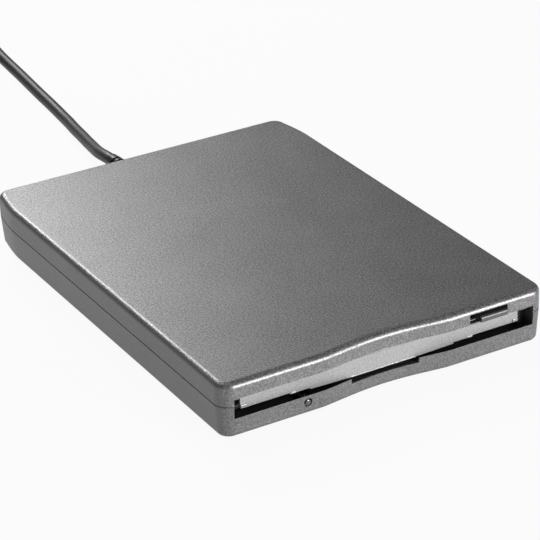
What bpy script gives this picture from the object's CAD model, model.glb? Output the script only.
import math

import bmesh
import bpy
from mathutils import Matrix, Vector


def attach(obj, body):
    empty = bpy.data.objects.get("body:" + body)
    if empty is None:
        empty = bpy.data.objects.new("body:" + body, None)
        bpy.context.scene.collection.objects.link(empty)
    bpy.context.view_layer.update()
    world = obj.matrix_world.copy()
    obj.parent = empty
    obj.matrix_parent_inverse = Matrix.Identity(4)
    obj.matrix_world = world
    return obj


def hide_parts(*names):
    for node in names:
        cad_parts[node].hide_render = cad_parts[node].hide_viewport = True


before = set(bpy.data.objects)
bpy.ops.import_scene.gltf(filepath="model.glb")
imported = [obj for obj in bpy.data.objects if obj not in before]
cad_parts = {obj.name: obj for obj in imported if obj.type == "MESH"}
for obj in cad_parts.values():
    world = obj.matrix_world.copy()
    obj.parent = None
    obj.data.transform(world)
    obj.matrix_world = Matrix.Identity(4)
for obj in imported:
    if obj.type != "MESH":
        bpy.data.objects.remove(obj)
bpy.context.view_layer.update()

# Sizes are in millimetres here and become metres when a mesh is made. +X is the right side,
# the mouth faces -Y, and z = 0 is the surface that the drive stands on.
MM = 0.001
SIDES = (-1, 1)
# How far a cut runs past the face that it opens, and a joined block into what it joins
PAST = 1
LAP = 0.1

# ---- Camera: its place, its turns about X, Y and Z in degrees, and its focal length ----
CAMERA_PLACE = (-315.545, -573.956, 337.875)
CAMERA_TURN = (63.173, 1.937, -30.109)
CAMERA_LENS = 167.635

# ---- Case ----
HALF_W = 51.5
FRONT = -71.3
REAR = 72.7
FOOT_H = 0.8
SEAM = 10.6
TOP = 17.4
WALL = 1.6
LOWER_WALL = 1.9
ROOF = TOP - WALL
FLOOR = 2.2
CORNER = 4.2
TOP_EDGE = 1.8
BASE_EDGE = 1.5
BASE_TAPER = 0.6
REAR_TAPER = 1.5
REAR_TAPER_LEN = 16
SEAM_GAP = 0.22
SEAM_EASE = 0.08
WAVE_DEPTH = 1.9
WAVE_HALF = 20
# How full the wave and the rear taper are
WAVE_POWER = 1.2
TAPER_POWER = 1.5
# No ring's corner is tighter than this
LEAST_CORNER = 0.4
# The flat faces and the hollow's ceiling start this far in from their edges
FACE_IN = 0.6

# ---- Posts, screws, tabs and feet ----
CASE_SCREW = (42.5, 65.5)
FRAME_SCREWS = ((34, -38.1), (30, 37.9))
FEET = ((40.5, FRONT + 14), (40.5, REAR - 19))
# Round steps of the holes in the base, each as (radius, height that it reaches)
CASE_SCREW_HOLE = ((1.2, SEAM + PAST), (2.4, 3.2))
FRAME_SCREW_HOLE = ((1.4, 4.8), (2.6, 1.5))
FOOT_HOLE = ((5.6, 1.2),)
UPPER_POST_R = 2.8
LOWER_POST_R = 3.2
BOARD_POSTS = ((6, 65.2), (36, 65.2))
BOARD_POST_R = 2
BOARD_Z = 5.2
PILOT_R = 0.92
TAB_IN = 48.65
TAB_YS = (FRONT + 30, FRONT + 95)
TAB_LEN = 9
TAB_T = 0.8
TAB_ROOT_T = 1.4
TAB_DROP = 2.4

# ---- Mouth ----
MOUTH_HALF = 47.6
CHEEK_IN = 47.8
MOUTH_TOP = 12.5
LIP = 6.6
LIP_T = 1.2
LIP_EDGE_T = 0.35
FINGER_HALF = 10.8
FINGER_Z = LIP - 1.5
SILL_Z = FINGER_Z - 0.1
CHEEK = 4.6
# The cheeks of the two shells end here, clear of each other
UPPER_CHEEK_Z = SEAM + 0.1
LOWER_CHEEK_Z = SEAM - 0.3

# ---- Dust door ----
DOOR_FRONT = FRONT + 2.9
DOOR_T = 0.9
DOOR_HALF = 44.3
DOOR_LOW = LIP + 0.85
# Half widths on the door's lower edge: its bead, its low middle stretch, and a lug from and to
DOOR_BEAD = 10.6
DOOR_STEP = 22.9
DOOR_LUG = (27.3, 29.2)
HINGE_R = 0.6
HINGE_Z = MOUTH_TOP - HINGE_R - 0.05
HINGE_REACH = 2.2

# ---- Eject button and light ----
BUTTON_X = 33.7
BUTTON_W = 8.8
BUTTON_Z = 13.05
BUTTON_H = 1.8
BUTTON_OUT = 1.4
BUTTON_TRAVEL = 4.5
OPENING = (26.5, 38.9)
OPENING_LOW = BUTTON_Z - 0.15
OPENING_HIGH = BUTTON_Z + BUTTON_H + 0.75
STEM_END = -49.8
LIGHT_X = -25.1
LIGHT_Z = 4.5
LIGHT_R = 1.25

# ---- Lead ----
LEAD_R = 2
EXIT_X = -2.5
EXIT_Z = 9.6
BOOT_Y0 = 68.4
BOOT_Y1 = REAR + 16
NECK_R = 2.5
FLANGE_R = 3.3
FLANGE_T = 2
SEAT_HALF = 5
SEAT_YS = (68, 71)
LEAD_ROUTE = [
    (-2.4, 94, 9.2), (-1.9, 98.5, 8.4), (-0.9, 103, 7.4), (0.3, 108, 6.4), (1.6, 114, 5.4),
    (2.9, 120, 4.5), (4.1, 126, 3.7), (5.2, 132, 3), (6.3, 138, 2.5), (7.2, 144, 2.1),
    (8.6, 158, 2), (9.4, 168, 2), (10.3, 178, 2), (11.2, 188, 2), (12, 198, 2), (12.9, 208, 2),
    (14.2, 218, 2.1)]
TAIL_ROUTE = [(-37.1, 220, 6.4), (-37.5, 215, 5.7), (-38.1, 210, 5), (-38.7, 205, 4.4)]
COIL_C = (-11, 231)
COIL_R = 21
COIL_LAYER_TURNS = 2.25
COIL_PITCH = 4.45
COIL_Z = 2.4
COIL_RINGS = 24
# The turns between which the lead climbs from the lower layer to the upper one
COIL_CLIMB = (2, 2.5)
COIL_START = COIL_R + COIL_PITCH * COIL_LAYER_TURNS / 2
PLUG = (-39, 196, 3.9)
PLUG_TAPER = 9
PLUG_LEN = 22
PLUG_W = 15.6
PLUG_H = 7.8


# ---- Shader work ----

# The colour sockets of a Mix node, which shares their names with others
MIX_FIRST = 6
MIX_SECOND = 7
MIX_COLOUR = 2


class Wire:
    """A socket that is worked with like a number"""

    def __init__(self, finish, socket):
        self.finish = finish
        self.socket = socket

    def maths(self, operation, *values):
        return self.finish.node("ShaderNodeMath", {"operation": operation}, values)

    def __add__(self, other):
        return self.maths("ADD", self, other)

    def __radd__(self, other):
        return self.maths("ADD", other, self)

    def __sub__(self, other):
        return self.maths("SUBTRACT", self, other)

    def __rsub__(self, other):
        return self.maths("SUBTRACT", other, self)

    def __mul__(self, other):
        return self.maths("MULTIPLY", self, other)

    def __rmul__(self, other):
        return self.maths("MULTIPLY", other, self)

    def size(self):
        return self.maths("ABSOLUTE", self)

    def clipped(self):
        return self.finish.node("ShaderNodeClamp", {}, [self])

    def ramp(self, *stops):
        """Tones set at places from 0 to 1"""
        return self.finish.node("ShaderNodeValToRGB", {"stops": stops}, [self])


class Finish:
    """The nodes of one material, or of the world"""

    def __init__(self, name, library=bpy.data.materials):
        self.block = library.new(name)
        self.block.use_nodes = True
        self.tree = self.block.node_tree
        self.tree.nodes.clear()

    def node(self, kind, settings=None, sockets=(), output=0):
        """A node of that type: its settings first, then the values or links of its sockets"""
        made = self.tree.nodes.new(kind)
        for key, value in (settings or {}).items():
            if key == "stops":
                set_stops(made.color_ramp.elements, value)
            else:
                setattr(made, key, value)
        pairs = sockets.items() if isinstance(sockets, dict) else enumerate(sockets)
        for key, value in pairs:
            if isinstance(value, Wire):
                self.tree.links.new(value.socket, made.inputs[key])
            else:
                made.inputs[key].default_value = value
        return Wire(self, made.outputs[output]) if made.outputs else None

    def place(self):
        return self.node("ShaderNodeTexCoord", output="Object")

    def stretched(self, x, y, z):
        """The place on the piece, scaled along each axis"""
        return self.node("ShaderNodeVectorMath", {"operation": "MULTIPLY"}, [self.place(), (x, y, z)])

    def noise(self, scale, detail=2, rough=0.5, where=None):
        """Cloudy grain; here and below, scale is about how many grains there are in a metre"""
        return self.node("ShaderNodeTexNoise", {}, {"Vector": where or self.place(), "Scale": scale,
                                                    "Detail": detail, "Roughness": rough})

    def cells(self, scale, feature="F1", random=1):
        return self.node("ShaderNodeTexVoronoi", {"feature": feature},
                         {"Vector": self.place(), "Scale": scale, "Randomness": random})

    def bands(self, direction, scale, waver=0.0):
        """Even stripes across that direction"""
        return self.node("ShaderNodeTexWave", {"wave_type": "BANDS", "bands_direction": direction},
                         {"Vector": self.place(), "Scale": scale, "Distortion": waver})

    def facing(self, axis):
        """How far the surface turns to that axis of the room, either way"""
        normal = self.node("ShaderNodeNewGeometry", output="Normal")
        return self.node("ShaderNodeSeparateXYZ", {}, [normal], output=axis).size()

    def blend(self, share, first, second):
        """A colour that goes from the first to the second with the share"""
        return self.node("ShaderNodeMix", {"data_type": "RGBA"},
                         {0: share, MIX_FIRST: colour(first), MIX_SECOND: colour(second)},
                         output=MIX_COLOUR)

    def relief(self, height, depth):
        """Raised and sunk detail, with its depth in millimetres"""
        return self.node("ShaderNodeBump", {}, {"Strength": 1.0, "Distance": depth * MM, "Height": height})

    def done(self, base, rough, metal=0.0, relief=None, constants=None):
        """Ends the material in its shader; constants are the same all over the surface"""
        sockets = {"Base Color": base, "Roughness": rough, "Metallic": metal, **(constants or {})}
        if relief is not None:
            sockets["Normal"] = relief
        self.node("ShaderNodeOutputMaterial", {}, [self.node("ShaderNodeBsdfPrincipled", {}, sockets)])
        return self.block


def set_stops(elements, stops):
    """Gives a ramp its places and tones"""
    while len(elements) < len(stops):
        elements.new(0.5)
    for element, (place, tone) in zip(elements, stops):
        element.position = place
        element.color = colour(tone)


def colour(tone):
    """A colour with its alpha, from tones as the screen shows them; a single number is a grey"""
    if isinstance(tone, Wire):
        return tone
    if isinstance(tone, (int, float)):
        tone = (tone, tone, tone)
    return tuple(c / 12.92 if c <= 0.04045 else ((c + 0.055) / 1.055) ** 2.4 for c in tone) + (1.0,)


def shifted(tone, step):
    """The colour lighter by step, or darker where step is below zero"""
    return tuple(c + step for c in tone)


# ---- Finishes ----

def case_paint(name, tone, fleck=0.1, sides=0.8):
    """Grey metallic paint with fine flakes on moulded plastic, plainer on the sides of the case"""
    f = Finish(name)
    flakes = f.noise(1900, rough=0.7)
    sparkle = f.noise(2300, rough=0.8).ramp((0.52, 0), (0.68, 1))
    cloud = f.noise(60)
    on_sides = f.facing(0).ramp((0.55, 0), (0.85, 1)) * sides
    on_front = f.facing(1).ramp((0.6, 0), (0.9, 1)) * 0.35
    plain = 1 - on_sides - on_front
    share = ((flakes - 0.5) * plain * 3.4 + 0.5 + (cloud - 0.5) * 0.3).clipped()
    body = f.blend(share, shifted(tone, -fleck), shifted(tone, fleck))
    base = f.blend(sparkle * plain * 0.45, body, shifted(tone, 3 * fleck))
    rough = 0.42 - sparkle * plain * 0.1 + (cloud - 0.5) * 0.05
    height = flakes * plain + sparkle * plain * 0.4 + f.noise(5200) * 0.12
    return f.done(base, rough, metal=0.65, relief=f.relief(height, 0.03))


def moulded(name, tone, texture=1.0):
    """Moulded plastic with a spark-eroded face"""
    f = Finish(name)
    grain = f.noise(4200, 3, 0.6)
    cloud = f.noise(90, 3)
    share = (cloud * 0.6 + grain * 0.4).clipped()
    base = f.blend(share, shifted(tone, -0.02), shifted(tone, 0.025))
    rough = 0.5 + (grain - 0.5) * 0.12 + (cloud - 0.5) * 0.08
    return f.done(base, rough, relief=f.relief(grain, 0.01 * texture))


def sheath(name, tone, rough=0.46):
    """Soft vinyl with a trace of dust"""
    f = Finish(name)
    grain = f.noise(2600, 3, 0.6)
    dust = f.noise(420, 4, 0.7).ramp((0.55, 0), (0.8, 1))
    base = f.blend((grain * 0.7 + dust * 0.3).clipped(), tone, shifted(tone, 0.03))
    return f.done(base, rough + dust * 0.06 + (grain - 0.5) * 0.04)


def rubber(name):
    """Matt black rubber with grey dust in patches"""
    f = Finish(name)
    grain = f.noise(1500, 4, 0.7)
    dust = f.noise(260, 3).ramp((0.5, 0), (0.85, 1))
    base = f.blend((grain * 0.5 + dust * 0.4).clipped(), 0.09, 0.19)
    return f.done(base, 0.82 - grain * 0.1, relief=f.relief(grain, 0.03))


def rolled_sheet(name, tone=(0.76, 0.77, 0.78), axis=1):
    """Plated sheet steel: rolling lines along the axis, soft zinc bloom and small scuffs"""
    f = Finish(name)
    scale = [900, 900, 900]
    scale[axis] = 18
    lines = f.noise(1.6, 4, 0.7, where=f.stretched(*scale))
    bloom = f.noise(150, 4, 0.6)
    flower = f.cells(260)
    scuff = f.noise(1, where=f.stretched(120, 1400, 700)).ramp((0.62, 0), (0.7, 1))
    base = f.blend((bloom * 0.5 + flower * 0.25 + lines * 0.35).clipped(), shifted(tone, -0.11), tone)
    rough = 0.3 + bloom * 0.16 + lines * 0.08 + scuff * 0.1
    return f.done(base, rough, metal=0.9, relief=f.relief(lines * 0.6 + bloom * 0.4, 0.008))


def turned_steel(name):
    """Ground steel with the fine rings of its lathe"""
    f = Finish(name)
    rings = f.noise(1, 3, 0.7, where=f.stretched(200, 3800, 200))
    oil = f.noise(240, 3)
    base = f.blend((rings * 0.5 + oil * 0.5).clipped(), (0.68, 0.69, 0.7), (0.8, 0.81, 0.82))
    return f.done(base, 0.2 + oil * 0.12 + rings * 0.06, metal=0.95, relief=f.relief(rings, 0.005))


def sprung_steel(name):
    """Drawn wire, a little browned by its heat treatment"""
    f = Finish(name)
    drawn = f.noise(1, 3, 0.7, where=f.stretched(2400, 500, 2400))
    heat = f.noise(190, 3)
    base = f.blend((heat * 0.7 + drawn * 0.3).clipped(), (0.6, 0.58, 0.55), (0.76, 0.76, 0.77))
    return f.done(base, 0.26 + drawn * 0.14, metal=0.95, relief=f.relief(drawn, 0.006))


def bronze(name):
    """Sintered bronze with open pores and oil"""
    f = Finish(name)
    pores = f.cells(2400)
    oil = f.noise(330, 3)
    base = f.blend((pores * 0.6 + oil * 0.5).clipped(), (0.52, 0.4, 0.24), (0.82, 0.69, 0.44))
    return f.done(base, 0.4 - oil * 0.14, metal=0.85, relief=f.relief(pores, 0.02))


def laminations(name):
    """Stamped core plates stacked on each other"""
    f = Finish(name)
    edge = f.noise(1, 1, where=f.stretched(60, 60, 5200))
    bloom = f.noise(420, 3)
    base = f.blend((edge * 0.6 + bloom * 0.4).clipped(), (0.42, 0.44, 0.48), (0.68, 0.69, 0.72))
    return f.done(base, 0.38 + bloom * 0.16, metal=0.85, relief=f.relief(edge, 0.02))


def wound_copper(name):
    """Enamelled wire wound side by side"""
    f = Finish(name)
    turns = f.bands("Z", 1250, waver=1.2)
    wax = f.noise(700, 3)
    base = f.blend((turns * 0.75 + wax * 0.25).clipped(), (0.45, 0.18, 0.08), (0.85, 0.48, 0.26))
    return f.done(base, 0.24 + wax * 0.14, metal=0.85, relief=f.relief(turns, 0.05),
                  constants={"Coat Weight": 0.6, "Coat Roughness": 0.12})


def bonded_magnet(name):
    """Dark grey ferrite bonded in resin"""
    f = Finish(name)
    grain = f.cells(1900)
    soot = f.noise(300, 4)
    base = f.blend((grain * 0.5 + soot * 0.5).clipped(), 0.17, 0.34)
    return f.done(base, 0.62 - grain * 0.12, metal=0.3, relief=f.relief(grain, 0.02))


def ground_ceramic(name):
    """Smooth pale ceramic of the heads"""
    f = Finish(name)
    grain = f.noise(2600, 4, 0.7)
    wear = f.noise(330)
    base = f.blend((grain * 0.4 + wear * 0.6).clipped(), (0.74, 0.71, 0.63), (0.93, 0.91, 0.84))
    return f.done(base, 0.16 + grain * 0.14, relief=f.relief(grain, 0.004))


def drawn_can(name):
    """Deep-drawn can with its drawing lines"""
    f = Finish(name)
    draw = f.noise(1, 4, 0.7, where=f.stretched(1500, 45, 1500))
    bloom = f.noise(240, 3)
    base = f.blend((draw * 0.5 + bloom * 0.5).clipped(), (0.62, 0.63, 0.66), (0.84, 0.85, 0.86))
    return f.done(base, 0.3 + draw * 0.18, metal=0.9, relief=f.relief(draw, 0.01))


def solder_mask(name, tone=(0.05, 0.31, 0.15)):
    """Green mask over copper runs and the weave of the glass, with tinned pads on the flat faces"""
    f = Finish(name)
    runs = f.cells(430, "DISTANCE_TO_EDGE", random=0.35).ramp((0.03, 1), (0.07, 0))
    weave = f.bands("DIAGONAL", 900, waver=1.5)
    pads = f.cells(300, random=0.6).ramp((0.16, 1), (0.2, 0))
    tinned = pads * f.facing(2).ramp((0.7, 0), (0.9, 1))
    cloth = tuple(c * 1.25 + 0.02 for c in tone)
    mask = f.blend((weave * 0.35 + runs * 0.6).clipped(), tone, cloth)
    base = f.blend(tinned * 0.9, mask, (0.83, 0.8, 0.68))
    rough = 0.32 + weave * 0.1 - tinned * 0.08
    height = runs + pads * 0.6 + weave * 0.15
    return f.done(base, rough, metal=tinned * 0.7, relief=f.relief(height, 0.03),
                  constants={"Coat Weight": 0.4, "Coat Roughness": 0.2})


def natural_nylon(name, tone=(0.9, 0.89, 0.85)):
    """Unpainted nylon with the flow of its moulding"""
    f = Finish(name)
    flow = f.noise(120, 4, 0.7)
    grain = f.noise(2600)
    base = f.blend((flow * 0.7 + grain * 0.3).clipped(), shifted(tone, -0.09), tone)
    return f.done(base, 0.42 + grain * 0.12, relief=f.relief(grain, 0.01),
                  constants={"Subsurface Weight": 0.05})


def clear_resin(name, tone):
    """Smoky resin under a glossy skin"""
    f = Finish(name)
    haze = f.noise(1900, 3)
    base = f.blend(f.noise(500, 3), shifted(tone, -0.14), tone)
    return f.done(base, 0.14 + haze * 0.16, relief=f.relief(haze, 0.006),
                  constants={"Coat Weight": 0.5, "Coat Roughness": 0.08})


def formed_nickel(name):
    """Plated sheet with press lines and finger marks"""
    f = Finish(name)
    press = f.noise(1, 3, 0.6, where=f.stretched(1200, 90, 1200))
    touch = f.noise(170, 4, 0.65)
    base = f.blend((press * 0.4 + touch * 0.6).clipped(), 0.68, (0.86, 0.86, 0.87))
    return f.done(base, 0.16 + touch * 0.18, metal=0.95, relief=f.relief(press, 0.006))


def zinc_screw(name):
    """Bright zinc plating with a dull bloom"""
    f = Finish(name)
    drive = f.noise(1300, 4, 0.7)
    bloom = f.noise(500, 3)
    base = f.blend((drive * 0.4 + bloom * 0.6).clipped(), (0.52, 0.52, 0.5), (0.78, 0.78, 0.76))
    return f.done(base, 0.32 + drive * 0.16, metal=0.9, relief=f.relief(drive, 0.01))


def ribbed_ribbon(name):
    """White flat cable with a fine rib for each wire"""
    f = Finish(name)
    ribs = f.bands("X", 160)
    wear = f.noise(300, 3)
    base = f.blend((ribs * 0.6 + wear * 0.4).clipped(), (0.66, 0.67, 0.68), (0.9, 0.9, 0.88))
    return f.done(base, 0.4 + wear * 0.12, relief=f.relief(ribs, 0.08))


def chip_black(name):
    """Black parts of the rear board, with pale lines like their leads"""
    f = Finish(name)
    grain = f.noise(3000, 3)
    pins = f.node("ShaderNodeTexBrick", {}, {
        "Vector": f.stretched(1, 1, 0.2), "Color1": colour(0.12), "Color2": colour(0.16),
        "Mortar": colour(0.6), "Scale": 420, "Mortar Size": 0.01})
    base = f.blend(grain * 0.35, pins, 0.2)
    return f.done(base, 0.4 + grain * 0.15, relief=f.relief(grain, 0.012))


# ---- Mesh work ----

def wave(x):
    """How far the front is drawn in at x"""
    if abs(x) >= WAVE_HALF:
        return 0.0
    return WAVE_DEPTH * math.cos(math.radians(90 * x / WAVE_HALF)) ** WAVE_POWER


def quarter(steps):
    """The cosine and sine of even steps through a right angle"""
    turns = [math.radians(90 * i / steps) for i in range(steps + 1)]
    return [(math.cos(a), math.sin(a)) for a in turns]


def arc(x, y, radius, quadrant, steps=14):
    """A rounded corner about x, y; quadrant 0 goes from +X to +Y, and the next ones follow it"""
    made = []
    for c, s in quarter(steps):
        for _ in range(quadrant):
            c, s = -s, c
        made.append((x + radius * c, y + radius * s))
    return made


def side(s, half, inset, r, steps=10):
    """The drawn-in stretch of a side wall, from the taper's start to the rear corner"""
    made = []
    for i in range(steps):
        t = i / steps
        x = s * (half - REAR_TAPER * t ** TAPER_POWER)
        made.append((x, REAR - inset - r - (REAR_TAPER_LEN - inset - r) * (1 - t)))
    return made


def outline(inset, waves=56):
    """The case seen from above, drawn in by inset"""
    half = HALF_W - inset
    r = max(CORNER - inset, LEAST_CORNER)
    front, rear = FRONT + inset, REAR - inset
    middle, back = half - r, half - REAR_TAPER - r
    xs = [WAVE_HALF * i / waves for i in range(-waves, waves + 1)]
    return (arc(-middle, front + r, r, 2) + [(x, front + wave(x)) for x in xs]
            + arc(middle, front + r, r, 3) + side(1, half, inset, r)
            + arc(back, rear - r, r, 0) + arc(-back, rear - r, r, 1) + side(-1, half, inset, r)[::-1])


def ring(z, inset):
    return [(x, y, z) for x, y in outline(inset)]


def rolled(face_z, way, radius, inset, steps):
    """Rings of a rolled edge from its flat face to the wall; way is 1 where the wall goes up"""
    return [ring(face_z + way * radius * (1 - c), inset + radius * (1 - s)) for c, s in quarter(steps)]


def added(name, data):
    """A new object in the scene that shows the data"""
    made = bpy.data.objects.new(name, data)
    bpy.context.scene.collection.objects.link(made)
    return made


def solid(name, points, faces):
    """A mesh object from points in millimetres"""
    mesh = bpy.data.meshes.new(name)
    mesh.from_pydata([Vector(p) * MM for p in points], [], faces)
    mesh.validate()
    work = bmesh.new()
    work.from_mesh(mesh)
    bmesh.ops.recalc_face_normals(work, faces=work.faces)
    work.to_mesh(mesh)
    work.free()
    return added(name, mesh)


def loft(name, rings):
    """A closed solid through rings of points of the same count"""
    count = len(rings[0])
    points = [p for r in rings for p in r]
    faces = []
    for k in range(len(rings) - 1):
        near, far = k * count, (k + 1) * count
        for i in range(count):
            j = (i + 1) % count
            faces.append([near + i, near + j, far + j, far + i])
    last = (len(rings) - 1) * count
    faces += [list(range(count))[::-1], [last + i for i in range(count)]]
    return solid(name, points, faces)


def box(low, high):
    """A block between two opposite corners"""
    (a, b, c), (d, e, f) = low, high
    return loft("block", [[(a, b, z), (d, b, z), (d, e, z), (a, e, z)] for z in (c, f)])


def about(centre, half, y0, y1):
    """A block with its middle at that x and z, reaching half = (in x, in z)"""
    (x, z), (w, h) = centre, half
    return box((x - w, y0, z - h), (x + w, y1, z + h))


def sided(s, near, far, low, high):
    """A block on one side of the middle: near and far are distances from it"""
    a, b = sorted((s * near, s * far))
    return box((a, low[0], low[1]), (b, high[0], high[1]))


def lathe(name, profile, axis, centre, steps=40):
    """A turned solid: profile has (distance along the axis, radius)"""
    def put(d, r, t):
        c, s = r * math.cos(t), r * math.sin(t)
        p = {"x": (d, c, s), "y": (c, d, s), "z": (c, s, d)}[axis]
        return [p[i] + centre[i] for i in range(3)]
    turns = [2 * math.pi * i / steps for i in range(steps)]
    return loft(name, [[put(d, r, t) for t in turns] for d, r in profile])


def exit_hole(y0, y1, r):
    return lathe("hole", [(y0, r), (y1, r)], "y", (EXIT_X, 0, EXIT_Z))


def upright(x, y, z0, z1, r):
    return lathe("post", [(z0, r), (z1, r)], "z", (x, y, 0), steps=32)


def fit(piece, tools, how="DIFFERENCE"):
    """Cuts the tools from the piece, or joins them to it"""
    for tool in tools:
        change = piece.modifiers.new("fit", "BOOLEAN")
        change.operation, change.solver, change.object = how, "MANIFOLD", tool
        settle(piece)
        bpy.data.objects.remove(tool)
    return piece


def settle(piece):
    """Makes the piece's modifiers part of its mesh"""
    graph = bpy.context.evaluated_depsgraph_get()
    mesh = bpy.data.meshes.new_from_object(piece.evaluated_get(graph))
    piece.modifiers.clear()
    piece.data = mesh
    return piece


def roll_edges(piece, width, segments, limit):
    """Adds the modifier that rounds the edges picked by limit"""
    roll = piece.modifiers.new("roll", "BEVEL")
    roll.width, roll.segments, roll.limit_method = width * MM, segments, limit
    return roll


def ease_edges(piece, width, segments=2, angle=35):
    """Rounds the edges sharper than the angle"""
    roll_edges(piece, width, segments, "ANGLE").angle_limit = math.radians(angle)
    return settle(piece)


def clean_mesh(piece, distance=0.004):
    """Takes out doubled points and slivers"""
    work = bmesh.new()
    work.from_mesh(piece.data)
    bmesh.ops.remove_doubles(work, verts=work.verts, dist=distance * MM)
    bmesh.ops.dissolve_degenerate(work, edges=work.edges, dist=distance * MM)
    work.to_mesh(piece.data)
    work.free()


def shade(piece, angle=32):
    """Smooth shading with the sharper edges kept"""
    piece.data.shade_smooth()
    piece.data.set_sharp_from_angle(angle=math.radians(angle))
    weigh = piece.modifiers.new("weigh", "WEIGHTED_NORMAL")
    weigh.keep_sharp = True
    weigh.weight = 60
    return settle(piece)


def fitted(piece, name, material, body, nodes):
    """Names, paints and mounts a piece, in place of those nodes"""
    piece.name = name
    piece.data.name = name
    piece.data.materials.clear()
    piece.data.materials.append(material)
    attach(piece, body)
    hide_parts(*nodes)
    return piece


# ---- Camera ----

def set_camera():
    camera = added("product_camera", bpy.data.cameras.new("product_camera"))
    camera.location = Vector(CAMERA_PLACE) * MM
    camera.rotation_euler = [math.radians(a) for a in CAMERA_TURN]
    camera.data.lens = CAMERA_LENS
    camera.data.sensor_width = 36
    camera.data.clip_start = 0.02
    camera.data.clip_end = 20
    bpy.context.scene.camera = camera


set_camera()


# ---- Lead ----

def coil_point(t):
    """The coil after t turns: inwards in the lower layer, then up and outwards in the upper one"""
    r = COIL_START - COIL_PITCH * (COIL_LAYER_TURNS - abs(COIL_LAYER_TURNS - t))
    start, end = COIL_CLIMB
    climb = min(max((t - start) / (end - start), 0), 1)
    z = COIL_Z + COIL_PITCH * climb * climb * (3 - 2 * climb)
    a = math.radians(360 * t)
    return (COIL_C[0] + r * math.cos(a), COIL_C[1] + r * math.sin(a), z)


def behind(p, y):
    return (p[0], p[1] - y, p[2])


def lead_points():
    """The lead's route from the boot through the coil to the plug"""
    steps = int(2 * COIL_LAYER_TURNS * COIL_RINGS)
    turns = [coil_point(i / COIL_RINGS) for i in range(steps + 1)]
    first = behind(turns[0], 2 * LEAD_R)
    last = behind(turns[-1], 2 * LEAD_R)
    return ([(EXIT_X, BOOT_Y1, EXIT_Z), (EXIT_X, BOOT_Y1 + 2, EXIT_Z)] + LEAD_ROUTE
            + [behind(first, 2 * LEAD_R), first] + turns + [last, behind(last, 2)] + TAIL_ROUTE
            + [behind(PLUG, -4), PLUG])


def make_lead(material):
    points = lead_points()
    line = bpy.data.curves.new("lead", "CURVE")
    line.dimensions = "3D"
    line.resolution_u = 5
    line.bevel_depth = LEAD_R * MM
    line.bevel_resolution = 7
    line.use_fill_caps = True
    run = line.splines.new("BEZIER")
    run.bezier_points.add(len(points) - 1)
    for knot, p in zip(run.bezier_points, points):
        knot.co = Vector(p) * MM
        knot.handle_left_type = knot.handle_right_type = "AUTO"
    line.materials.append(material)
    lead = added("lead", line)
    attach(lead, "case")
    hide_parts("usb_lead", "usb_lead_coil", "usb_lead_tail")
    return lead


lead_sheath = sheath("lead_sheath", (0.19, 0.19, 0.195))
grip_vinyl = sheath("grip_vinyl", (0.11, 0.11, 0.115), 0.3)
lead = make_lead(lead_sheath)


def make_plug_grip():
    """Moulded grip of the plug, with ribs to hold and a ringed neck"""
    x, y, z = PLUG
    front, rear = y - PLUG_TAPER, y - PLUG_TAPER - PLUG_LEN
    w, h = PLUG_W / 2, PLUG_H / 2
    ring_pitch, groove = 2.4, 0.45
    neck = [(0, LEAD_R + 0.35), (-0.25, LEAD_R + 0.5)]
    for i in range(3):
        d, r = -1.6 - ring_pitch * i, LEAD_R + 0.6 + 0.2 * i
        neck += [(d + 0.12, r), (d - 0.05, r - groove), (d - 0.75, r - groove), (d - 0.92, r + 0.05)]
    neck += [(-PLUG_TAPER - 0.5, LEAD_R + 1.2)]
    grip = lathe("grip", neck[::-1], "y", PLUG)
    body = about((x, z), (w, h), rear, front)
    fit(grip, [ease_edges(body, 1.7, segments=6)], "UNION")
    rib_pitch, rib_w, rib_depth, rib_half_h = 2.1, 0.8, 0.35, 2.4
    cuts = []
    for i in range(5):
        d = front - 5 - rib_pitch * i
        cuts += [about((x + s * w, z), (rib_depth, rib_half_h), d, d + rib_w) for s in SIDES]
    panel = box((x - 4.6, rear + 4, z + h - 0.25), (x + 4.6, front - 4, z + h + PAST))
    cuts.append(ease_edges(panel, 0.8, segments=4))
    cuts.append(about((x, z), (6, 2.25), rear - PAST, rear + 6))
    fit(grip, cuts)
    ease_edges(grip, 0.12, angle=40)
    return fitted(shade(grip), "plug_grip", grip_vinyl, "case", ["plug_overmould"])


def make_tie():
    """Strap round the coil"""
    half_w, thick, corner = 3, 0.4, 1.7
    inner = COIL_C[1] + COIL_START - COIL_PITCH * COIL_LAYER_TURNS - LEAD_R - 0.7
    outer = COIL_C[1] + COIL_START + LEAD_R + 0.3
    high = COIL_Z + COIL_PITCH + LEAD_R + 0.3

    def hoop(grow, half):
        block = box((COIL_C[0] - half, inner - grow, thick - grow),
                    (COIL_C[0] + half, outer + grow, high + grow))
        roll_edges(block, corner + grow, 6, "WEIGHT")
        marks = block.data.attributes.new("bevel_weight_edge", "FLOAT", "EDGE")
        for edge in block.data.edges:
            a, b = (block.data.vertices[i].co for i in edge.vertices)
            marks.data[edge.index].value = 1.0 if a.x != b.x else 0.0
        return settle(block)
    tie = fit(hoop(thick, half_w), [hoop(0, half_w + PAST)])
    ease_edges(tie, 0.1, angle=60)
    return fitted(shade(tie), "coil_tie_strap", rubber("tie_weave"), "case", ["coil_tie"])


plug_grip = make_plug_grip()
tie = make_tie()


# ---- Case ----

paint_top = case_paint("case_paint_top", (0.455, 0.45, 0.455), fleck=0.12)
paint_base = case_paint("case_paint_base", (0.465, 0.46, 0.465))
paint_door = case_paint("door_paint", (0.645, 0.64, 0.645), fleck=0.07, sides=0.0)
button_plastic = case_paint("button_paint", (0.385, 0.38, 0.385), fleck=0.04, sides=0.0)


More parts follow.
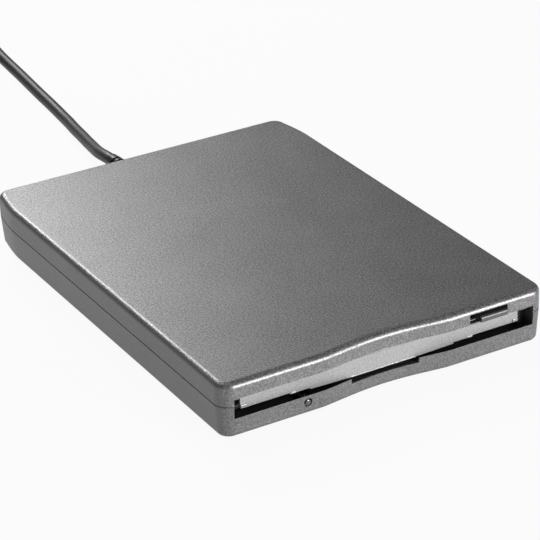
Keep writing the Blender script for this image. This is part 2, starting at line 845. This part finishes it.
def make_upper_case():
    """Upper shell with cheeks beside the mouth, screw posts and tabs that locate it in the lower one"""
    shell = loft("upper_case", [ring(SEAM, SEAM_EASE), ring(SEAM + SEAM_EASE, 0)]
                 + rolled(TOP, -1, TOP_EDGE, 0, 12)[::-1] + [ring(TOP, TOP_EDGE + FACE_IN)])
    fit(shell, [loft("hollow", [ring(SEAM - PAST, WALL), ring(ROOF - FACE_IN, WALL),
                                ring(ROOF, WALL + FACE_IN)])])
    x, y = CASE_SCREW
    ceiling = ROOF + LAP
    more, pilots = [], []
    for s in SIDES:
        more.append(sided(s, CHEEK_IN, HALF_W - WALL + LAP, (FRONT + WALL - LAP, UPPER_CHEEK_Z),
                          (FRONT + CHEEK, ceiling)))
        more.append(upright(s * x, y, SEAM, ceiling, UPPER_POST_R))
        for front in TAB_YS:
            rear = front + TAB_LEN
            more.append(sided(s, TAB_IN, TAB_IN + TAB_T, (front, SEAM - TAB_DROP), (rear, ceiling)))
            more.append(sided(s, TAB_IN, TAB_IN + TAB_ROOT_T, (front, SEAM), (rear, SEAM + 2)))
        pilots.append(upright(s * x, y, SEAM - PAST, SEAM + 4.2, PILOT_R))
    fit(shell, more, "UNION")
    mouth = box((-MOUTH_HALF, FRONT - PAST, SEAM - PAST), (MOUTH_HALF, FRONT + CHEEK + PAST, MOUTH_TOP))
    key_hole = box((OPENING[0], FRONT - PAST, OPENING_LOW), (OPENING[1], FRONT + 5, OPENING_HIGH))
    fit(shell, [mouth, key_hole, exit_hole(REAR - WALL - PAST, REAR + PAST, NECK_R + 0.05)] + pilots)
    clean_mesh(shell)
    ease_edges(shell, 0.16, segments=3, angle=40)
    return fitted(shade(shell, 35), "upper_case", paint_top, "case", ["top_shell"])


def waved_bar(half, section, steps=96):
    """A bar behind the waved front: section has (distance behind the front, height)"""
    places = [half * i / steps for i in range(-steps, steps + 1)]
    return loft("bar", [[(x, FRONT + wave(x) + d, z) for d, z in section] for x in places])


def base_hole(x, y, steps):
    """Cuts for a stepped hole in the base, on both sides of the middle"""
    return [upright(s * x, y, FOOT_H - PAST, high, r) for s in SIDES for r, high in steps]


def boot_seat(y0, y1, r):
    """Cuts that seat a stretch of the boot and let it in from above"""
    return [exit_hole(y0, y1, r), box((EXIT_X - r, y0, EXIT_Z), (EXIT_X + r, y1, SEAM + PAST))]


def make_lower_case():
    """Lower shell with the lip, the finger notch, screw and foot recesses and the boot's seat"""
    seam = SEAM - SEAM_GAP
    shell = loft("lower_case", [ring(FOOT_H, BASE_TAPER + BASE_EDGE + FACE_IN)]
                 + rolled(FOOT_H, 1, BASE_EDGE, BASE_TAPER, 10)
                 + [ring(seam - SEAM_EASE, 0), ring(seam, SEAM_EASE)]
                 + [ring(seam, SEAM_GAP), ring(SEAM, SEAM_GAP)])
    fit(shell, [loft("hollow", [ring(FLOOR, LOWER_WALL), ring(SEAM + PAST, LOWER_WALL)])])

    x, y = CASE_SCREW
    floor = FLOOR - LAP
    more = [upright(*place, floor, BOARD_Z, BOARD_POST_R) for place in BOARD_POSTS]
    more.append(box((EXIT_X - SEAT_HALF, SEAT_YS[0], floor), (EXIT_X + SEAT_HALF, SEAT_YS[1], SEAM - 0.4)))
    for s in SIDES:
        more.append(upright(s * x, y, floor, SEAM, LOWER_POST_R))
        more.append(sided(s, CHEEK_IN, HALF_W - LOWER_WALL + LAP, (FRONT + LOWER_WALL - LAP, floor),
                          (FRONT + CHEEK, LOWER_CHEEK_Z)))
    fit(shell, more, "UNION")

    back = CHEEK + 0.2
    behind_lip = [(LIP_T, SILL_Z), (back, SILL_Z), (back, LIP + 1), (LIP_T, LIP + 1)]
    thinned = [(LIP_EDGE_T, LIP + 0.01), (LIP_T + 0.1, LIP - 1.1), (LIP_T + 0.6, LIP - 1.1),
               (LIP_T + 0.6, LIP + 1), (LIP_EDGE_T, LIP + 1)]
    finger_y = FRONT + WAVE_DEPTH + LIP_T + 0.1
    cuts = [box((-MOUTH_HALF, FRONT - PAST, LIP), (MOUTH_HALF, FRONT + back, SEAM + PAST)),
            waved_bar(MOUTH_HALF, behind_lip), waved_bar(MOUTH_HALF, thinned),
            box((-FINGER_HALF, FRONT - PAST, FINGER_Z), (FINGER_HALF, finger_y, SEAM + PAST)),
            lathe("light_hole", [(FRONT - PAST, LIGHT_R + 0.05), (FRONT + 4, LIGHT_R + 0.05)], "y",
                  (LIGHT_X, 0, LIGHT_Z))]
    cuts += base_hole(x, y, CASE_SCREW_HOLE)
    for place in FRAME_SCREWS:
        cuts += base_hole(*place, FRAME_SCREW_HOLE)
    for place in FEET:
        cuts += base_hole(*place, FOOT_HOLE)
    cuts += [upright(*place, FLOOR + 0.6, BOARD_Z + 0.6, PILOT_R) for place in BOARD_POSTS]
    cuts += boot_seat(BOOT_Y0 - 1, REAR + PAST, NECK_R + 0.05)
    cuts += boot_seat(BOOT_Y0, BOOT_Y0 + FLANGE_T + 0.2, FLANGE_R + 0.1)
    fit(shell, cuts)
    clean_mesh(shell)
    ease_edges(shell, 0.14, segments=3, angle=40)
    return fitted(shade(shell, 35), "lower_case", paint_base, "case", ["bottom_shell"])


def make_door():
    """Sprung flap that closes the mouth"""
    middle = DOOR_FRONT + DOOR_T / 2
    bead_low, lug_low = LIP - 0.3, LIP + 0.4
    lug_in, lug_out = DOOR_LUG
    half = [(0, bead_low), (DOOR_BEAD, bead_low), (DOOR_BEAD, bead_low + 0.05), (DOOR_STEP, LIP + 0.1),
            (DOOR_STEP, LIP + 0.5), (lug_in, LIP + 0.5), (lug_in, lug_low), (lug_out, lug_low),
            (lug_out, DOOR_LOW), (DOOR_HALF, DOOR_LOW), (DOOR_HALF, HINGE_Z)]
    shape = half + [(-x, z) for x, z in half[:0:-1]]
    door = loft("door", [[(x, y, z) for x, z in shape] for y in (DOOR_FRONT, DOOR_FRONT + DOOR_T)])
    reach, ease = DOOR_HALF + HINGE_REACH, 0.1
    more = [lathe("pins", [(-reach, HINGE_R - ease), (ease - reach, HINGE_R), (reach - ease, HINGE_R),
                           (reach, HINGE_R - ease)], "x", (0, middle, HINGE_Z), steps=32)]
    for s in SIDES:
        corner = sided(s, DOOR_HALF - 1.8, DOOR_HALF, (DOOR_FRONT - 0.25, DOOR_LOW),
                       (middle, DOOR_LOW + 1.1))
        more.append(ease_edges(corner, 0.2, segments=3))
        nub = sided(s, lug_in + 0.1, lug_out - 0.1, (DOOR_FRONT - 0.2, lug_low + 0.02),
                    (middle, LIP + 0.95))
        more.append(ease_edges(nub, 0.1))
    bead_half = DOOR_BEAD - 0.1
    bead = box((-bead_half, DOOR_FRONT - 0.15, bead_low), (bead_half, middle, LIP + 0.05))
    more.append(ease_edges(bead, 0.12, segments=3))
    fit(door, more, "UNION")
    ease_edges(door, 0.1, segments=3, angle=40)
    return fitted(shade(door), "mouth_door", paint_door, "door", ["dust_door"])


def make_button():
    """Eject key with a rolled front, a stop behind the wall and the stem to the slide"""
    left, right = BUTTON_X - BUTTON_W / 2, BUTTON_X + BUTTON_W / 2
    front, top = FRONT - BUTTON_OUT, BUTTON_Z + BUTTON_H
    stop_y = FRONT + WALL + 0.3 + BUTTON_TRAVEL
    stop_rear = stop_y + 1
    section = [(front, BUTTON_Z + 0.3), (front + 0.2, BUTTON_Z), (stop_rear, BUTTON_Z), (stop_rear, top),
               (front + 0.35, top), (front, top - 0.4)]
    key = loft("key", [[(x, y, z) for y, z in section] for x in (left, right)])
    ease_edges(key, 0.22, segments=4, angle=30)
    stop = box((left - 1.2, stop_y, BUTTON_Z), (right + 1.2, stop_rear, top))
    stem = box((BUTTON_X - 3, stop_y + 0.5, BUTTON_Z - 0.2), (BUTTON_X + 3, STEM_END, BUTTON_Z + 1))
    fit(key, [stop, stem], "UNION")
    ease_edges(key, 0.06, angle=50)
    return fitted(shade(key), "eject_key", button_plastic, "eject_slide", ["eject_button"])


def make_window():
    """Light pipe with a shouldered end, so that a dark ring shows round it"""
    steps = [(0.22, 0.12), (0.24, 0.45), (0.34, 0.74), (0.5, 0.84), (1.3, 0.86), (1.32, LIGHT_R),
             (3.2, LIGHT_R), (3.4, 0.6), (6.35, 0.6)]
    pipe = lathe("pipe", [(FRONT + d, r) for d, r in steps], "y", (LIGHT_X, 0, LIGHT_Z))
    flange = about((LIGHT_X, LIGHT_Z), (2.2, 0.6), FRONT + 2.05, FRONT + 2.9)
    fit(pipe, [ease_edges(flange, 0.15)], "UNION")
    resin = clear_resin("window_resin", (0.4, 0.4, 0.4))
    return fitted(shade(pipe), "light_window", resin, "case", ["light_pipe"])


def make_strain_relief():
    """Ringed boot that keeps the lead from kinking"""
    wall_y = REAR + 0.2
    end_r = LEAD_R + 0.35
    core_r = LEAD_R + 0.2
    ring_pitch, ring_ease = 2.4, 0.12

    def radius(y):
        return FLANGE_R - (FLANGE_R - end_r) * (y - wall_y) / (BOOT_Y1 - wall_y)
    flange_y = BOOT_Y0 + FLANGE_T
    profile = [(BOOT_Y0, FLANGE_R - 0.4), (BOOT_Y0 + 0.3, FLANGE_R), (flange_y, FLANGE_R),
               (flange_y + 0.01, NECK_R), (wall_y, NECK_R), (wall_y + 0.01, FLANGE_R - 0.15),
               (wall_y + 0.15, FLANGE_R - 0.02)]
    for i in range(5):
        y = wall_y + 1.6 + ring_pitch * i
        far = y + 0.8
        profile += [(y - 0.15, radius(y)), (y, radius(y) - ring_ease), (y + 0.02, core_r),
                    (far - 0.02, core_r), (far, radius(far) - ring_ease), (far + 0.15, radius(far))]
    profile += [(BOOT_Y1 - 0.25, end_r), (BOOT_Y1, end_r - 0.2)]
    boot = lathe("boot", profile, "y", (EXIT_X, 0, EXIT_Z), steps=48)
    return fitted(shade(boot, 40), "lead_boot", grip_vinyl, "case", ["cable_strain_relief"])


def make_screw(x, y, z, head_r, head_h, shank_r, length):
    """One cross-head screw that stands on its head at z"""
    neck = z + head_h
    profile = [(z, head_r - 0.5), (z + 0.05, head_r - 0.2), (z + 0.25, head_r), (neck, head_r),
               (neck + 0.01, shank_r), (z + length - 0.3, shank_r), (z + length, shank_r - 0.3)]
    screw = lathe("screw", profile, "z", (x, y, 0), steps=36)
    low, high = z - 0.5, z + min(0.9, head_h * 0.7)
    long, narrow = 1.1, 0.22
    slots = [box((x - w, y - d, low), (x + w, y + d, high)) for w, d in ((long, narrow), (narrow, long))]
    dimple = lathe("dimple", [(low, 0.75), (high, 0.3)], "z", (x, y, 0), steps=16)
    return fit(screw, slots + [dimple])


def make_screws():
    """The screws of the base: two for the case, four for the drive's frame"""
    x, y = CASE_SCREW
    screws = [make_screw(s * x, y, z=1.6, head_r=2.1, head_h=1.6, shank_r=0.9, length=11.2)
              for s in SIDES]
    screws += [make_screw(s * x, y, z=FOOT_H, head_r=2.3, head_h=0.7, shank_r=1.1, length=1.69)
               for x, y in FRAME_SCREWS for s in SIDES]
    made = fit(screws[0], screws[1:], "UNION")
    return fitted(shade(made), "base_screws", screw_zinc, "case", ["case_screws"])


screw_zinc = zinc_screw("screw_zinc")
make_upper_case()
make_lower_case()
make_door()
make_button()
make_window()
make_strain_relief()
make_screws()


# ---- Pieces that stay as the frame has them ----

bezel_black = moulded("bezel_black", (0.27, 0.265, 0.275))
frame_steel = rolled_sheet("frame_steel")
cover_steel = rolled_sheet("cover_steel", (0.79, 0.8, 0.8), axis=0)
slide_steel = rolled_sheet("slide_steel", (0.74, 0.74, 0.73))
bright_steel = turned_steel("bright_steel")
spring_steel = sprung_steel("spring_steel")
head_ceramic = ground_ceramic("head_ceramic")
board_green = solder_mask("board_green")
nylon = natural_nylon("nylon")
arm_black = moulded("arm_black", (0.1, 0.1, 0.11), texture=1.5)
kept = {
    "rubber_feet": rubber("foot_rubber"),
    "entrance_bezel": bezel_black,
    "drive_frame": frame_steel,
    "drive_cover": cover_steel,
    "frame_screws": screw_zinc,
    "slide_plate": slide_steel,
    "slide_springs": spring_steel,
    "disk_carrier": rolled_sheet("carrier_steel", (0.72, 0.73, 0.75)),
    "shutter_lever": slide_steel,
    "lever_spring": spring_steel,
    "motor_plate": solder_mask("motor_plate_green", (0.06, 0.27, 0.16)),
    "spindle_bearing": bronze("bearing_bronze"),
    "stator_core": laminations("core_plates"),
    "stator_coils": wound_copper("coil_copper"),
    "spindle_rotor": rolled_sheet("rotor_steel", (0.78, 0.78, 0.79), axis=0),
    "rotor_magnet": bonded_magnet("rotor_magnet_grey"),
    "spindle_shaft": bright_steel,
    "head_carriage": arm_black,
    "lower_head": head_ceramic,
    "upper_head_arm": arm_black,
    "upper_head": head_ceramic,
    "head_load_spring": spring_steel,
    "guide_rod": bright_steel,
    "rod_clamps": slide_steel,
    "stepper_motor": drawn_can("motor_can"),
    "lead_screw": bright_steel,
    "screw_bearing": nylon,
    "track_zero_sensor": bezel_black,
    "disk_switches": bezel_black,
    "drive_board": board_green,
    "usb_board": board_green,
    "usb_board_parts": chip_black("chip_black"),
    "ribbon_cable": ribbed_ribbon("ribbon_white"),
    "board_screws": screw_zinc,
    "status_led": clear_resin("led_resin", (0.3, 0.34, 0.29)),
    "lead_connector": nylon,
    "lead_wires": sheath("wire_sleeves", (0.34, 0.33, 0.33)),
    "plug_shell": formed_nickel("plug_nickel"),
    "plug_tongue": natural_nylon("plug_nylon", (0.93, 0.93, 0.92)),
}
for name, material in kept.items():
    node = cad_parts[name]
    if not node.material_slots:
        node.data.materials.append(material)
    for place in node.material_slots:
        place.material = material


def lead_length():
    """Length in metres along the lead's middle line"""
    bare = lead.data.copy()
    bare.bevel_depth = 0
    probe = added("probe", bare)
    graph = bpy.context.evaluated_depsgraph_get()
    line = bpy.data.meshes.new_from_object(probe.evaluated_get(graph))
    ends = [[line.vertices[i].co for i in edge.vertices] for edge in line.edges]
    total = sum((a - b).length for a, b in ends)
    bpy.data.objects.remove(probe)
    bpy.data.meshes.remove(line)
    return total


round(lead_length(), 4)


# ---- Floor and light ----

WHITE = (1, 1, 1, 1)
FLOOR_WHITE = 0.93
FLOOR_IN_GLOSS = 0.62
# Metres from the middle of the floor to its sides
FLOOR_REACH = 3
ROOM_LIGHT = 0.15


def make_floor():
    """Pale floor, white to the camera and with the object's shadow on it"""
    f = Finish("studio_floor")
    seen, glossy, through = [f.node("ShaderNodeLightPath", output="Is " + ray + " Ray")
                             for ray in ("Camera", "Glossy", "Transmission")]
    lit = f.node("ShaderNodeBsdfDiffuse", {}, {"Color": (0.8, 0.8, 0.8, 1)})
    white = f.node("ShaderNodeEmission", {}, {"Color": WHITE, "Strength": 1.0})
    share = (seen + through).clipped() * FLOOR_WHITE + glossy * FLOOR_IN_GLOSS
    f.node("ShaderNodeOutputMaterial", {}, [f.node("ShaderNodeMixShader", {}, [share, lit, white])])
    mesh = bpy.data.meshes.new("studio_floor")
    work = bmesh.new()
    # A tenth of a millimetre lower, so that the feet don't share the floor's plane
    lower = Matrix.Translation((0, 0, -0.1 * MM))
    bmesh.ops.create_grid(work, x_segments=8, y_segments=8, size=FLOOR_REACH, matrix=lower)
    work.to_mesh(mesh)
    work.free()
    mesh.materials.append(f.block)
    added("studio_floor", mesh)


def make_world():
    """Dim light from all round, white where the camera sees it"""
    f = Finish("studio", bpy.data.worlds)
    seen = f.node("ShaderNodeLightPath", output="Is Camera Ray")
    plain = f.node("ShaderNodeBackground", {}, {"Color": WHITE, "Strength": ROOM_LIGHT})
    white = f.node("ShaderNodeBackground", {}, {"Color": WHITE, "Strength": 1.0})
    f.node("ShaderNodeOutputWorld", {}, [f.node("ShaderNodeMixShader", {}, [seen, plain, white])])
    bpy.context.scene.world = f.block


def lamp(name, direction, distance, size, power, aim=(0, 0, 0.01)):
    """A soft lamp in that direction from the aim, in metres and watts"""
    light = bpy.data.lights.new(name, "AREA")
    light.shape = "RECTANGLE"
    light.size, light.size_y = size
    light.energy = power
    made = added(name, light)
    way = Vector(direction).normalized()
    made.location = Vector(aim) + way * distance
    made.rotation_mode = "QUATERNION"
    made.rotation_quaternion = way.to_track_quat("Z", "Y")


make_floor()
make_world()
lamp("front_softbox", (0.434, -0.896, 0.06), distance=1.05, size=(0.45, 0.26), power=14.5)
lamp("rear_softbox", (0.12, 0.83, 0.54), distance=1.1, size=(0.34, 0.22), power=5.3)
lamp("left_softbox", (-0.35, 0.2, 0.9), distance=0.4, size=(0.25, 0.2), power=0.35,
     aim=(-0.035, 0.03, 0.017))

bpy.context.scene.view_settings.view_transform = "Standard"
